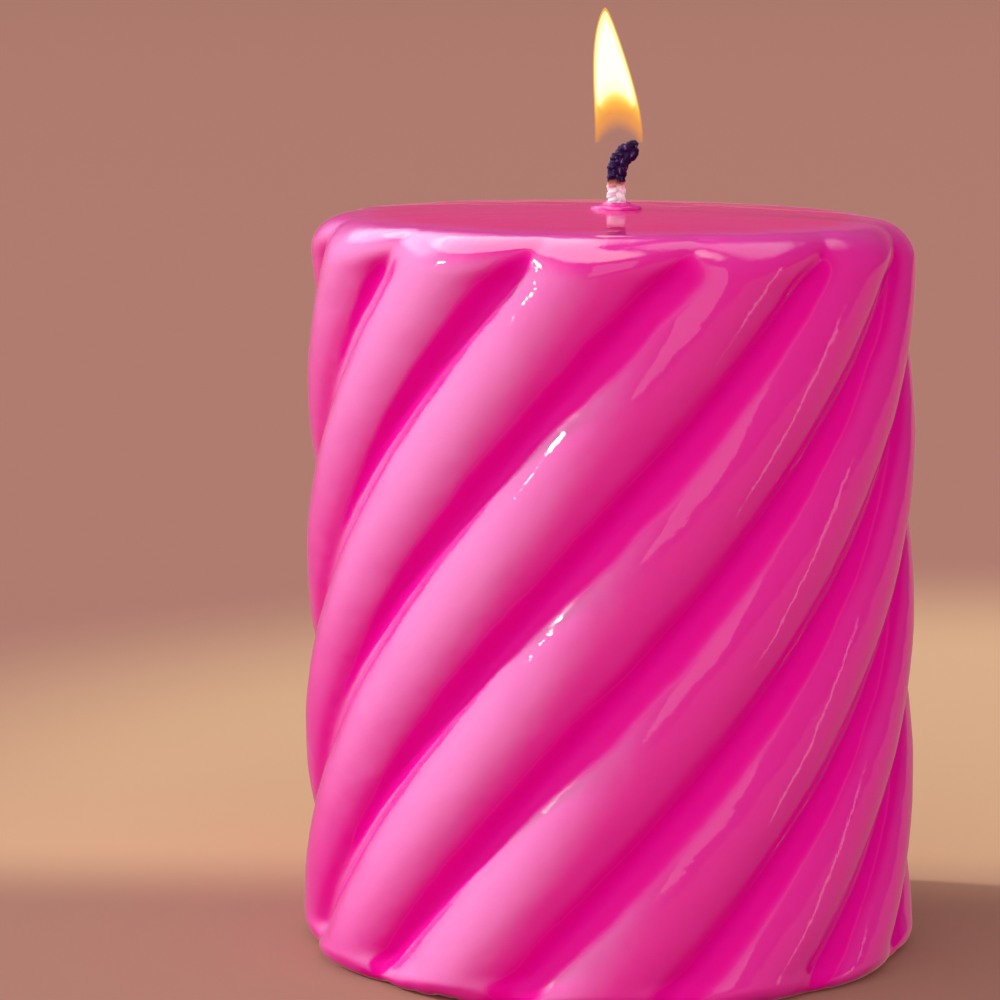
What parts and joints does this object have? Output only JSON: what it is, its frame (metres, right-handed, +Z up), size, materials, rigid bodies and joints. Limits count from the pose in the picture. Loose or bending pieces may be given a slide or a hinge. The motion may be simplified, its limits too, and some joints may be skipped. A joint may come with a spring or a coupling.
{
  "type": "pillar candle",
  "caption": "Lit pillar candle with spiral ribs, a glossy dyed coat over a pale core, a curled burnt wick and a flame.",
  "frame": {"origin": "middle of the foot, on the surface that the candle stands on", "axes": "+Z up along the candle, -Y towards the viewer of the picture, +X to that viewer's right; the burnt wick curls towards +X"},
  "size_m": [0.075, 0.075, 0.1142],
  "materials": {
    "core_wax": "pale wax, matt and waxy, with fine mould and cut marks at the foot",
    "lacquered_wax": "dyed wax under a clear high-gloss lacquer",
    "tinplate": "bright rolled tinplate, pressed",
    "cotton_braid": "primed cotton braid, burnt black at its upper end",
    "molten_wax": "clear wet molten wax, tinted by the coat's dye",
    "burning_gas": "bright see-through flame, white-yellow above and orange below"
  },
  "bodies": {
    "root": {"wax_core": "core_wax", "colour_coat": "lacquered_wax", "wick_tab": "tinplate", "wick": "cotton_braid", "melt_pool": "molten_wax", "flame": "burning_gas"}
  },
  "joints": []
}
